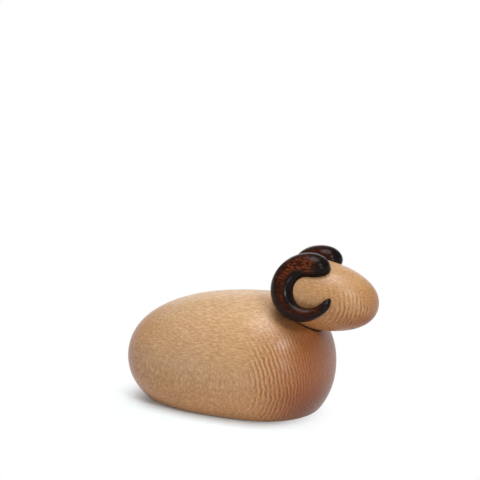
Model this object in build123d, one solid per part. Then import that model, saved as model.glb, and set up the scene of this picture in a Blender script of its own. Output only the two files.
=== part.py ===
from build123d import *
import math
import os

# A wooden ram: turned egg body with a flat base, turned egg head let into it, two curled horns
# Lengths are millimetres, angles are degrees. +X is forward, +Y is the ram's left, +Z is up

# Body: an egg on its side, blunt chest forward, tipped up a little at the chest and cut flat below
body_rear_length = 84.3
body_front_length = 47.0
body_radius = 42.5
body_fullness = 2.29
body_pitch = 3.4
body_axis_height = 28.0
base_edge_radius = 4.0

# Head: a smaller egg ahead of the body's widest section, its pointed end a little down
head_rear_length = 21.0
head_front_length = 42.3
head_radius = 21.0
head_fullness = 2.2
head_pitch = 7.4
head_sink = 9.9

# Share of the body's front length at which the head's widest section stands
head_ahead_share = 0.702

# Seat dished into the body: the head beds on glue below, and an open joint shows round the rim
seat_clearance = 0.8
seat_glue_gap = 0.1
seat_rim_radius = 0.5

# Horns: a tapered round rod bent round a circle that leans in against the side of the head
horn_bend_radius = 14.8
horn_ahead = 3.9
horn_bend_sink = 2.0
horn_rise_angle = 19.7
horn_lean = 29.2
horn_toe_out = 2.8
horn_root_angle = 54.0
horn_tip_angle = 354.5
horn_thickest_radius = 7.6
horn_tip_radius = 2.6
horn_root_round_length = 10.0
horn_tip_round_length = 7.0
horn_glue_gap = 0.1

# Share of the bend where the rod starts to thin, and of each round end where its first slice lies
horn_taper_start_share = 0.34
horn_end_share = 0.06

# Slices that shape each round end of the rod and the length between them
horn_round_slices = 5
horn_body_slices = 14

# Dowels: one under the head, two in each horn at shares of its bend
neck_dowel_diameter = 10.0
neck_dowel_length = 24.0
horn_dowel_diameter = 4.0
horn_dowel_length = 13.0
horn_dowel_past_center = 3.0
horn_dowel_shares = {"front": 0.21, "rear": 0.56}
dowel_chamfer = 0.6
dowel_clearance = 0.1
dowel_end_clearance = 0.5

# Turned eggs: the flat pip left at each end by the lathe, and steps along a quarter of the outline
turning_pip_radius = 0.8
outline_steps = 8


def egg(rear_length, front_length, radius, fullness):
    """A turned egg along X, widest at the origin. Fullness 2 is an ellipse, and more is rounder."""

    def outline_point(length, angle):
        along = math.sin(math.radians(angle)) ** (2 / fullness)
        out = max(math.cos(math.radians(angle)), 0) ** (2 / fullness)
        return (length * along, max(radius * out, turning_pip_radius))

    angles = [90 * step / outline_steps for step in range(outline_steps + 1)]
    rear = [outline_point(-rear_length, angle) for angle in reversed(angles)]
    front = [outline_point(front_length, angle) for angle in angles[1:]]
    outline = Spline(*rear, *front, tangents=[(0, 1), (0, -1)], tangent_scalars=[1, 1])
    axis_points = [outline @ 1, (front_length, 0), (-rear_length, 0), outline @ 0]
    profile = make_face([outline, Polyline(*axis_points)])
    return revolve(profile, Axis.X)


def dowel(diameter, length):
    """A wood pin along Z about the origin, with chamfered ends."""
    pin = Cylinder(diameter / 2, length)
    return chamfer(pin.edges().filter_by(GeomType.CIRCLE), dowel_chamfer)


def dowel_bore(diameter, length):
    """The hole that a dowel sits in, a little wider and deeper than the dowel."""
    return Cylinder(diameter / 2 + dowel_clearance, length + 2 * dowel_end_clearance)


# The origin is below the middle of the whole figure, from the body's rump to the tip of the nose
head_ahead = head_ahead_share * body_front_length
rump_reach = body_rear_length * math.cos(math.radians(body_pitch))
nose_reach = head_ahead + head_front_length * math.cos(math.radians(head_pitch))
body_x = (rump_reach - nose_reach) / 2

# The head sinks into the top of the body, which falls away towards the chest
chest_fall = (1 - head_ahead_share**body_fullness) ** (1 / body_fullness)
body_top = body_axis_height + body_radius * chest_fall + head_ahead * math.tan(math.radians(body_pitch))
head_height = body_top + head_radius - head_sink
head_place = Pos(body_x + head_ahead, 0, head_height) * Rot(0, head_pitch, 0)


def head_egg(gap):
    """The head's outer form, grown by a gap to cut what lies against it."""
    grown = egg(
        head_rear_length + gap, head_front_length + gap, head_radius + gap, head_fullness
    )
    return head_place * Rot(90, 0, 0) * grown


head = head_egg(0)

# Body: turned, tipped up at the chest, cut flat, its lower edge rounded and its seat dished
body_place = Pos(body_x, 0, body_axis_height) * Rot(0, -body_pitch, 0)
body_egg = egg(body_rear_length, body_front_length, body_radius, body_fullness)
body = split(body_place * body_egg, bisect_by=Plane.XY, keep=Keep.TOP)
body = fillet(body.edges().group_by(Axis.Z)[0], base_edge_radius)
body = body - Pos(0, 0, seat_clearance - seat_glue_gap) * head_egg(seat_clearance)
seat_rim = body.edges().sort_by(Axis.Z)[-1]
body = fillet(seat_rim, seat_rim_radius)

# Neck dowel: square to the head's axis, half in the head and half in the body
neck_place = head_place * Pos(0, 0, -head_radius)
neck_dowel = neck_place * dowel(neck_dowel_diameter, neck_dowel_length)
neck_bore = neck_place * dowel_bore(neck_dowel_diameter, neck_dowel_length)
head = head - neck_bore
body = body - neck_bore

# Horn: round slices along a bend whose middle lies a little under the side of the head
horn_reach = head_radius - horn_bend_sink
horn_side = -horn_reach * math.cos(math.radians(horn_rise_angle))
horn_up = horn_reach * math.sin(math.radians(horn_rise_angle))
horn_place = head_place * Pos(horn_ahead, horn_side, horn_up)
horn_place = horn_place * Rot(0, 0, -horn_toe_out) * Rot(-horn_lean, 0, 0)
horn_length = horn_bend_radius * math.radians(horn_tip_angle - horn_root_angle)


def horn_plane(share):
    """The plane of the slice at a share of the bend, facing the tip."""
    angle = math.radians(horn_root_angle + share * (horn_tip_angle - horn_root_angle))
    center = (horn_bend_radius * math.cos(angle), 0, horn_bend_radius * math.sin(angle))
    return Plane(center, x_dir=(0, 1, 0), z_dir=(-math.sin(angle), 0, math.cos(angle)))


def horn_radius(along):
    """The rod's radius at a length along the bend: thick, then eased down to the tip, with round ends."""
    share = along / horn_length
    late = max(share - horn_taper_start_share, 0) / (1 - horn_taper_start_share)
    eased = late * late * (3 - 2 * late)
    radius = horn_thickest_radius + (horn_tip_radius - horn_thickest_radius) * eased
    from_root = max(1 - along / horn_root_round_length, 0)
    from_tip = max(1 - (horn_length - along) / horn_tip_round_length, 0)
    return radius * math.sqrt(1 - from_root**2) * math.sqrt(1 - from_tip**2)


def horn_rod():
    """The whole rod before it is fitted to the head, sliced closer where its ends round over."""
    body_length = horn_length - horn_root_round_length - horn_tip_round_length
    turns = [step / horn_round_slices for step in range(1, horn_round_slices)]
    root_turns = [horn_end_share, *turns]
    tip_turns = [*turns, 1 - horn_end_share]
    lengths = [horn_root_round_length * (1 - math.cos(math.pi / 2 * turn)) for turn in root_turns]
    for step in range(horn_body_slices + 1):
        lengths.append(horn_root_round_length + body_length * step / horn_body_slices)
    for turn in tip_turns:
        lengths.append(horn_length - horn_tip_round_length * (1 - math.sin(math.pi / 2 * turn)))
    slices = []
    for along in lengths:
        slices.append(horn_plane(along / horn_length) * Circle(horn_radius(along)))
    return loft(slices)


right_horn = horn_place * horn_rod() - head_egg(horn_glue_gap)

# Horn dowels: each points from the head's axis through the middle of the rod
right_dowels = {}
for name, share in horn_dowel_shares.items():
    middle = horn_place * Pos(*horn_plane(share).origin)
    from_head = (head_place.inverse() * middle).position
    reach = math.hypot(from_head.Y, from_head.Z)
    outward = Plane((from_head.X, 0, 0), x_dir=(1, 0, 0), z_dir=(0, from_head.Y, from_head.Z))
    depth = reach + horn_dowel_past_center - horn_dowel_length / 2
    dowel_place = head_place * outward.offset(depth).location
    right_dowels[name] = dowel_place * dowel(horn_dowel_diameter, horn_dowel_length)
    bore = dowel_place * dowel_bore(horn_dowel_diameter, horn_dowel_length)
    right_horn = right_horn - bore
    head = head - bore - mirror(bore, about=Plane.XZ)

pieces = {"body": body, "head": head, "neck_dowel": neck_dowel}
pieces["right_horn"] = right_horn
pieces["left_horn"] = mirror(right_horn, about=Plane.XZ)
for name, pin in right_dowels.items():
    pieces[f"right_horn_{name}_dowel"] = pin
    pieces[f"left_horn_{name}_dowel"] = mirror(pin, about=Plane.XZ)

os.makedirs("parts", exist_ok=True)
for name, piece in pieces.items():
    piece.label = name
    export_step(piece, os.path.join("parts", f"{name}.step"))
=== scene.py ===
import bpy
import math
from mathutils import Matrix, Vector

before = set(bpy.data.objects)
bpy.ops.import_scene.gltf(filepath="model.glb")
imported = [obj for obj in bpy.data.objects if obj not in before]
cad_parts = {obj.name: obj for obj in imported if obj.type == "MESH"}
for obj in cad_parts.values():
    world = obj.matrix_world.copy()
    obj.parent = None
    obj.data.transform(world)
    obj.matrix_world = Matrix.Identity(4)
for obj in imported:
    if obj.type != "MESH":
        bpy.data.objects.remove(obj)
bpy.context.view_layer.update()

# Body: one block of pale, flecked hardwood turned to an egg on its side, sawn flat underneath and
# dished on top for the head. The grain runs along the egg, so both ends are end grain, and the
# yearly rings stand upright and slantwise. It is sanded fine and oiled to a soft sheen.
MM = 0.001


class Figure:
    """A value or colour that changes over the wood, so that a finish is written as plain sums."""

    def __init__(self, tree, socket=None):
        self.tree = tree
        self.socket = socket

    def make(self, kind, settings=None, sockets=None, output=0):
        node = self.tree.nodes.new("ShaderNode" + kind)
        for name, value in (settings or {}).items():
            setattr(node, name, value)
        for key, value in (sockets or {}).items():
            if isinstance(value, Figure):
                self.tree.links.new(value.socket, node.inputs[key])
            else:
                node.inputs[key].default_value = value
        return Figure(self.tree, node.outputs[output])

    def feed(self, shader, sockets):
        for name, value in sockets.items():
            self.tree.links.new(value.socket, shader.inputs[name])

    def sum(self, operation, left, right=0.0, limit=False):
        settings = {"operation": operation, "use_clamp": limit}
        return self.make("Math", settings, {0: left, 1: right})

    def __add__(self, other):
        return self.sum("ADD", self, other)

    def __radd__(self, other):
        return self.sum("ADD", other, self)

    def __sub__(self, other):
        return self.sum("SUBTRACT", self, other)

    def __rsub__(self, other):
        return self.sum("SUBTRACT", other, self)

    def __mul__(self, other):
        return self.sum("MULTIPLY", self, other)

    def __rmul__(self, other):
        return self.sum("MULTIPLY", other, self)

    def __pow__(self, other):
        return self.sum("POWER", self, other)

    def __abs__(self):
        return self.sum("ABSOLUTE", self)

    def limit(self):
        return self.sum("ADD", self, 0.0, limit=True)

    def wave(self):
        """Swings between 0 and 1 with the sine of this angle."""
        return self.sum("SINE", self) * 0.5 + 0.5

    def step(self, low, high):
        """Goes smoothly from 0 at low to 1 at high."""
        settings = {"interpolation_type": "SMOOTHSTEP"}
        return self.make("MapRange", settings, {"Value": self, "From Min": low, "From Max": high})

    def blend(self, bare, stained, mode="MIX"):
        """Goes from one colour to another as this value goes from 0 to 1."""
        settings = {"data_type": "RGBA", "blend_type": mode}
        return self.make("Mix", settings, {0: self, 6: bare, 7: stained}, output=2)

    def tint(self, color, tone):
        """Multiplies a colour by a tone, as far as this value goes from 0 to 1."""
        return self.blend(color, tone, "MULTIPLY")

    def toned(self, tone):
        """Multiplies this colour by a tone everywhere."""
        settings = {"data_type": "RGBA", "blend_type": "MULTIPLY"}
        return self.make("Mix", settings, {0: 1.0, 6: self, 7: tone}, output=2)


def new_finish(name):
    """An empty material with its shader, and a starting point for the figure of its wood."""
    material = bpy.data.materials.new(name)
    material.use_nodes = True
    return material, material.node_tree.nodes["Principled BSDF"], Figure(material.node_tree)


def cloudy(figure, place, detail=2.0, roughness=0.5, warp=0.0):
    """Soft, uneven clouds from 0 to 1, about one to each whole step of the place."""
    sockets = {"Vector": place, "Scale": 1.0, "Detail": detail}
    sockets |= {"Roughness": roughness, "Distortion": warp}
    return figure.make("TexNoise", {"noise_dimensions": "3D"}, sockets)


def in_wood(figure, spot, center, turn, size):
    """The place in a block that lies at center and is turned, counted in grains of the given size."""
    sockets = {"Vector": spot, "Location": center, "Rotation": turn, "Scale": size}
    return figure.make("Mapping", {"vector_type": "TEXTURE"}, sockets)


def part_of(figure, place, index):
    """One of the three numbers of a place: 0 along, 1 across, 2 up."""
    return figure.make("SeparateXYZ", None, {0: place}, output=index)


# Colours of the bare wood, tones of its lines and end grain, and painted light and shade: sheen on top,
# shade on rump, underside and lower chest, shadow in the joint
straw, honey = (0.578, 0.352, 0.190, 1), (0.566, 0.336, 0.160, 1)
dark_line, light_line = (0.70, 0.62, 0.54, 1), (1.28, 1.35, 1.42, 1)
pore_brown = (0.33, 0.165, 0.075, 1)
end_grain_tone = (0.75, 0.52, 0.41, 1)
painted_top_sheen_tone = (1.06, 1.13, 1.24, 1)
painted_rump_shade_tone = (0.92, 0.64, 0.56, 1)
painted_underside_tone = (1.10, 0.76, 0.38, 1)
painted_chest_shade_tone = (0.58, 0.42, 0.28, 1)
painted_crease_shadow = (0.020, 0.010, 0.006, 1)

# Where the painted shadow in the joint's crease starts and is full, in the head's own measure, which is
# 1 on its surface
crease_shadow_start, crease_shadow_full = 1.18, 1.08

# Lengths of the figure along, across and up, in mm
ring_width = 2.0
ring_slant = 62.0
ring_sway, ring_ripple, ring_patch = (40.0, 30.0, 30.0), (8.0, 4.0, 4.5), (7.0, 2.6, 3.4)
top_fleck, side_fleck, end_fleck = (3.4, 0.7, 0.58), (0.55, 2.2, 2.2), (0.9, 0.5, 1.0)
pore_size, cloud_size = (2.4, 0.4, 0.5), (46.0, 16.0, 22.0)


def pale_wood(
    name, center, pitch, ring_strength, end_strength, dark_from, dark_tone, satin, joint=None
):
    """Pale hardwood in which an egg cuts the rings in arcs. It darkens forward, and has a painted
    shadow at a joint.
    """
    material, shader, figure = new_finish(name)
    along_grain = (0.0, math.radians(pitch), 0.0)
    across_rings = (0.0, math.radians(pitch), math.radians(ring_slant))
    spot = figure.make("TexCoord", output=3)
    normal = figure.make("TexCoord", output=1)

    def place_in(turn, size):
        return in_wood(figure, spot, center, turn, tuple(length * MM for length in size))

    def grain(turn, size, detail=1.0, warp=0.0):
        return cloudy(figure, place_in(turn, size), detail, 0.5, warp)

    def facing(turn, index):
        return part_of(figure, in_wood(figure, normal, (0, 0, 0), turn, (1, 1, 1)), index)

    # Which way the surface looks: forward or back, up or down, and square to the rings or not
    facing_x, facing_z = facing(along_grain, 0), facing(along_grain, 2)
    rear_facing = facing_x.step(-0.25, -0.60)
    up_facing = facing_z.step(0.0, 0.35)
    down_facing = facing_z.step(0.05, -0.60)
    flat_on_ring = abs(facing(across_rings, 0)).step(0.72, 0.97)

    # Rings: thin light lines with a weaker one between, which show in patches where they are cut across
    sway = grain(along_grain, ring_sway) * 2.0
    ripple = grain(along_grain, ring_ripple) * 0.9
    ring_depth = part_of(figure, place_in(across_rings, (1.0, 1.0, 1.0)), 0)
    ring_turn = (ring_depth * (1 / ring_width) + sway + ripple) * (2 * math.pi)
    main_line = ring_turn.wave() ** 3.0 - 0.3
    between = (ring_turn * 2.0 + 0.9).wave() ** 2.0 - 0.37
    rings = main_line * 0.9 + between * 0.3
    chest_side = facing_x.step(0.05, 0.40) * (1.0 - facing_x.step(0.55, 0.95) * 0.75)
    cut_across = chest_side * facing_z.step(0.75, 0.20)
    patchy = grain(along_grain, ring_patch).step(0.34, 0.62) * 0.85 + 0.15
    ring_show = (cut_across * 0.92 + 0.08) * patchy * (1.0 - flat_on_ring)

    # Flecks: short dashes, lengthwise on top, upright on the sides and like fine dots on the rump
    on_top, on_side = grain(along_grain, top_fleck), grain(across_rings, side_fleck)
    dashes = on_top * up_facing + on_side * (1.0 - up_facing)
    dashes = grain(along_grain, end_fleck) * rear_facing + dashes * (1.0 - rear_facing)
    flecks = dashes.step(0.48, 0.68) * 0.34 - dashes.step(0.50, 0.34) * 0.20
    flecks = flecks * (rear_facing * 1.5 + 1.0)
    lines = (rings * ring_show * ring_strength + flecks + 0.46).limit()
    pores = grain(along_grain, pore_size).step(0.60, 0.72)

    # Colour: the bare wood, its lines and pores, the tone of its end grain, then painted sheen and
    # shade on its top, rump, underside and lower chest
    clouds = grain(along_grain, cloud_size, 2.0, 0.4)
    ground = clouds.step(0.3, 0.7).blend(straw, honey)
    color = ground.toned(lines.blend(dark_line, light_line))
    color = (pores * 0.35).blend(color, pore_brown)
    color = (abs(facing_x).step(0.35, 1.0) * end_strength).tint(color, end_grain_tone)
    # painted sheen: surfaces facing up are made paler and cooler
    color = facing_z.step(0.60, 0.95).tint(color, painted_top_sheen_tone)
    # painted shade: the rear-facing end is made darker and redder
    color = (rear_facing * 0.35).tint(color, painted_rump_shade_tone)
    # painted shading: surfaces facing down are made warmer and redder
    color = (facing_z.step(0.25, -0.45) * 0.5).tint(color, painted_underside_tone)
    forward = part_of(figure, place_in(along_grain, (1.0, 1.0, 1.0)), 0)
    # painted shade: the lower chest, facing down and forward, is made darker
    color = (down_facing * forward.step(10.0, 40.0)).tint(color, painted_chest_shade_tone)
    color = forward.step(*dark_from).tint(color, dark_tone)
    if joint:
        joint_center, joint_pitch, joint_rear, joint_front, joint_radius, fullness = joint
        turn = (0.0, math.radians(joint_pitch), 0.0)
        place = in_wood(figure, spot, joint_center, turn, (joint_front, joint_radius, joint_radius))
        x, y, z = (part_of(figure, place, index) for index in range(3))
        along = figure.sum("MAXIMUM", x, x * (-joint_front / joint_rear))
        from_head = along**fullness + (y * y + z * z) ** (fullness / 2)
        # painted shadow: near-black in the crease where the head sits in its seat
        color = from_head.step(crease_shadow_start, crease_shadow_full).blend(color, painted_crease_shadow)

    relief = lines - pores * 0.6
    bump = figure.make("Bump", None, {"Strength": 0.12, "Distance": 0.25 * MM, "Height": relief})
    gloss = satin - lines * 0.06 + pores * 0.12
    figure.feed(shader, {"Base Color": color, "Roughness": gloss, "Normal": bump})
    shader.inputs["IOR"].default_value = 1.45
    return material


def dress(node, material):
    """The finish goes on every face of a solid."""
    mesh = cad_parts[node].data
    mesh.materials.clear()
    mesh.materials.append(material)
    for face in mesh.polygons:
        face.material_index = 0


body_center = (4.6 * MM, 0.0, 28.0 * MM)
body_pitch = -3.4
head_center = (37.6 * MM, 0.0, 73.93 * MM)
head_pitch = 7.4
head_rear_length, head_front_length, head_radius = 21.0 * MM, 42.3 * MM, 21.0 * MM
head_fullness = 2.2
head_joint = (
    head_center, head_pitch, head_rear_length, head_front_length, head_radius, head_fullness
)
body_finish = pale_wood(
    "pale_wood_body",
    body_center,
    body_pitch,
    ring_strength=2.3,
    end_strength=0.75,
    dark_from=(0.0, 40.0),
    dark_tone=(0.66, 0.45, 0.30, 1),
    satin=0.35,
    joint=head_joint,
)
dress("body", body_finish)

# Neck dowel: a plain bought hardwood pin, glued half into the body's seat and half into the head.
# It is left unfinished, with straight fine grain along its length, and it can't be seen from outside.
dowel_brown, dowel_pale = (0.52, 0.35, 0.20, 1), (0.66, 0.48, 0.30, 1)
dowel_fibre = (0.5 * MM, 0.5 * MM, 9 * MM)


def dowel_wood(name, pitch):
    """Plain, dry hardwood with long fibres along an upright pin."""
    material, shader, figure = new_finish(name)
    turn = (0.0, math.radians(pitch), 0.0)
    spot = figure.make("TexCoord", output=3)
    place = in_wood(figure, spot, (0.0, 0.0, 0.0), turn, dowel_fibre)
    grain = cloudy(figure, place, 3.0, 0.6, 0.3)
    color = grain.step(0.3, 0.7).blend(dowel_brown, dowel_pale)
    figure.feed(shader, {"Base Color": color, "Roughness": 0.62 + grain * 0.16})
    return material


dowel_finish = dowel_wood("dowel_wood", head_pitch)
dress("neck_dowel", dowel_finish)

# Head: a smaller egg turned from the same pale wood, nose a little down, bedded in the body's seat
# on the neck dowel and glue. Its own grain runs from the back of the head to the nose.
head_finish = pale_wood(
    "pale_wood_head",
    head_center,
    head_pitch,
    ring_strength=1.4,
    end_strength=0.35,
    dark_from=(-30.0, 24.0),
    dark_tone=(0.81, 0.71, 0.60, 1),
    satin=0.38,
)
dress("head", head_finish)

# Horn dowels: two thin pins of the same dowel wood under each horn, one near its root and one behind.
# They are glued into the head and the horn, and none of them can be seen from outside.
for side in ("right", "left"):
    for end in ("front", "rear"):
        pin = f"{side}_horn_{end}_dowel"
        dress(pin, dowel_finish)

# Horns: smoked dark hardwood, each a tapered curl rounded at both ends and saddled on the head.
# The ends and the inside of the curl are almost black, and the open outer face shows red-brown wood
# with dark pores. A soft gloss lies over it all.
horn_bend_radius = 14.8 * MM
horn_reach = 19.0 * MM
horn_ahead = 3.9 * MM
horn_rise, horn_lean, horn_toe_out = (math.radians(angle) for angle in (19.7, 29.2, 2.8))
head_frame = Matrix.Translation(head_center) @ Matrix.Rotation(math.radians(head_pitch), 4, "Y")
horn_offset = (horn_ahead, -horn_reach * math.cos(horn_rise), horn_reach * math.sin(horn_rise))
horn_turn = Matrix.Rotation(-horn_toe_out, 4, "Z") @ Matrix.Rotation(-horn_lean, 4, "X")
horn_frame = head_frame @ Matrix.Translation(horn_offset) @ horn_turn
dark_red, bright_red = (0.030, 0.0072, 0.0038, 1), (0.22, 0.050, 0.013, 1)
# the near-black of the ends, the inside of the curl and the outer edge
pore_black, horn_black = (0.016, 0.0052, 0.0036, 1), (0.0075, 0.0043, 0.0038, 1)
mottle_size, horn_pore_size = (3.4, 1.2, 1.2), (2.4, 0.6, 0.6)


def smoked_wood(name):
    """Smoked hardwood in the frame of the right horn's bend. The left horn mirrors it."""
    material, shader, figure = new_finish(name)
    spot = figure.make("TexCoord", output=3)
    x, y, z = (part_of(figure, spot, index) for index in range(3))
    folded = figure.make("CombineXYZ", None, {0: x, 1: abs(y) * -1.0, 2: z})
    center = horn_frame.to_translation()
    turn = horn_frame.to_euler()

    def place_in(size):
        return in_wood(figure, folded, center, turn, tuple(length * MM for length in size))

    # Where a spot lies: the angle along the bend from its front, and the angle around the rod,
    # 0 on the open outer face, 90 inside the curl and -90 on its outer edge
    local = place_in((1.0, 1.0, 1.0))
    across, inside, up = (part_of(figure, local, index) for index in range(3))
    outward = inside * -1.0
    inward = horn_bend_radius / MM - (across * across + up * up) ** 0.5
    bend = figure.sum("ARCTAN2", up * -1.0, across * -1.0) * (180 / math.pi) + 180.0
    around = figure.sum("ARCTAN2", inward, outward) * (180 / math.pi)
    outer_around = around * -1.0

    # Almost black: both ends, the inside of the curl from a wavering line on, and its outer edge
    root = bend.step(96.0, 66.0)
    tip = bend.step(312.0, 338.0)
    wall_start = 13.0 + bend.step(145.0, 100.0) * 36.0
    wall_start = wall_start - bend.step(195.0, 235.0) * 12.0 + bend.step(250.0, 285.0) * 48.0
    inner_wall = (around - wall_start).step(0.0, 14.0)
    outer_edge = outer_around.step(-10.0, 50.0) * outer_around.step(112.0, 82.0)
    black = (root + tip + inner_wall + outer_edge * 0.75).limit()

    # Red-brown: mottled, brightest on top of the curl, and pierced by pores
    mottle = cloudy(figure, place_in(mottle_size), 3.0, 0.6, 0.5)
    pores = cloudy(figure, place_in(horn_pore_size), 2.0, 0.6)
    on_top = abs(bend - 122.0).step(80.0, 10.0) * 0.75 + 0.25
    on_face = abs(around).step(110.0, 60.0) * 0.85 + 0.15
    color = (mottle.step(0.40, 0.68) * on_top * on_face).blend(dark_red, bright_red)
    color = (pores.step(0.50, 0.62) * 0.85).blend(color, pore_black)
    color = black.blend(color, horn_black)

    relief = mottle * 0.6 - pores.step(0.52, 0.66) * 0.5
    bump = figure.make("Bump", None, {"Strength": 0.18, "Distance": 0.35 * MM, "Height": relief})
    gloss = 0.20 + pores.step(0.52, 0.64) * 0.12 - mottle * 0.06
    figure.feed(shader, {"Base Color": color, "Roughness": gloss, "Normal": bump})
    shader.inputs["IOR"].default_value = 1.5
    shader.inputs["Specular IOR Level"].default_value = 0.10
    return material


horn_finish = smoked_wood("smoked_wood_horns")
for side in ("right", "left"):
    dress(f"{side}_horn", horn_finish)

# Table: a wide pale paper that the ram stands on, turned up far away as a backdrop. It keeps the
# soft shadow under the belly, and what the camera and the sheen on the wood see of it elsewhere is
# plain white.
table_half = 6.0
backdrop_height = 1.4
paper_grey, paper_pale = (0.66, 0.66, 0.66, 1), (0.88, 0.96, 1.0, 1)
corners = [(-1, -1), (1, -1), (1, 1), (-1, 1)]
points = [(table_half * i, table_half * j, z) for z in (0.0, backdrop_height) for i, j in corners]
walls = [(k, (k + 1) % 4, (k + 1) % 4 + 4, k + 4) for k in range(4)]
table_mesh = bpy.data.meshes.new("table")
table_mesh.from_pydata(points, [], [(0, 1, 2, 3), *walls])
table = bpy.data.objects.new("table", table_mesh)
bpy.context.scene.collection.objects.link(table)

# Paper: grey to the light that falls on it, and pale to the eye, also in a gloss or through glass
table_material, table_shader, table_figure = new_finish("table_white")
table_shader.inputs["Roughness"].default_value = 1.0
table_shader.inputs["Specular IOR Level"].default_value = 0.0
straight, in_gloss, through = (table_figure.make("LightPath", output=index) for index in (0, 3, 6))
seen = (straight + in_gloss + through).limit()
table_figure.feed(table_shader, {"Base Color": seen.blend(paper_grey, paper_pale)})

# White: it takes over with the distance from the middle of the shadow
shadow_middle = (-20.0 * MM, -25.0 * MM, 0.0)
spot = table_figure.make("TexCoord", output=3)
offset = table_figure.make("VectorMath", {"operation": "SUBTRACT"}, {0: spot, 1: shadow_middle})
distance = table_figure.make("VectorMath", {"operation": "LENGTH"}, {0: offset}, output=1)
white_share = distance.step(0.035, 0.080) * 0.93 + 0.07
white = table_figure.make("Emission", None, {"Strength": 1.0})
shaded = Figure(table_material.node_tree, table_shader.outputs[0])
sheet = table_figure.make("MixShader", None, {0: white_share * seen, 1: shaded, 2: white})
table_figure.feed(table_material.node_tree.nodes["Material Output"], {"Surface": sheet})
table_mesh.materials.append(table_material)

# Light: a large softbox overhead, two small ones ahead of the ram on the camera's side, which make
# the highlights on chest, cheek and horns, and a long weak one behind. The rest is an even pale room.
scene = bpy.context.scene
scene.view_settings.view_transform = "Standard"


def softbox(name, place, aim, width, height, power):
    """A flat lamp of a width and height in metres, turned to its aim."""
    lamp = bpy.data.lights.new(name, "AREA")
    lamp.shape = "RECTANGLE"
    lamp.size = width
    lamp.size_y = height
    lamp.energy = power
    holder = bpy.data.objects.new(name, lamp)
    scene.collection.objects.link(holder)
    holder.location = place
    holder.rotation_mode = "QUATERNION"
    holder.rotation_quaternion = (Vector(aim) - Vector(place)).to_track_quat("-Z", "Y")


softbox("softbox_overhead", (0.06, -0.18, 1.10), (0.0, 0.0, 0.04), 0.7, 0.7, 9.6)
softbox("softbox_front", (0.57, -0.48, 0.64), (0.03, 0.0, 0.05), 0.14, 0.14, 2.3)
softbox("softbox_low", (0.64, -0.60, 0.20), (0.03, 0.0, 0.08), 0.18, 0.18, 0.9)
softbox("softbox_back", (-0.35, 1.1, 0.55), (0.0, 0.0, 0.05), 1.2, 0.4, 2.0)

room = bpy.data.worlds.new("pale_room")
room.use_nodes = True
scene.world = room
backdrop = room.node_tree.nodes["Background"]
backdrop.inputs["Color"].default_value = (1.0, 1.0, 1.0, 1)
backdrop.inputs["Strength"].default_value = 0.24

# Camera: it looks at the ram's right side, a little from the front and from above. It is turned so
# that the middle of the body falls on the same pixel as in the photograph.
image_width = 480
camera_azimuth = math.radians(22.0)
camera_elevation = math.radians(17.0)
camera_distance = 0.9
camera_target = Vector((4.6 * MM, 0.0, 35.0 * MM))
target_pixel = (258.41, 348.62)
focal_pixels = 1480.5
level = math.cos(camera_elevation)
back = Vector((
    math.sin(camera_azimuth) * level,
    -math.cos(camera_azimuth) * level,
    math.sin(camera_elevation),
))
right = Vector((math.cos(camera_azimuth), math.sin(camera_azimuth), 0.0))
upward = right.cross(-back)
look = -back
look -= right * ((target_pixel[0] - image_width / 2) / focal_pixels)
look += upward * ((target_pixel[1] - image_width / 2) / focal_pixels)
lens = bpy.data.cameras.new("camera")
lens.sensor_width = 36.0
lens.lens = lens.sensor_width * focal_pixels / image_width
lens.clip_start = 0.01
camera = bpy.data.objects.new("camera", lens)
scene.collection.objects.link(camera)
camera.location = camera_target + back * camera_distance
camera.rotation_mode = "QUATERNION"
camera.rotation_quaternion = look.to_track_quat("-Z", "Y")
scene.camera = camera
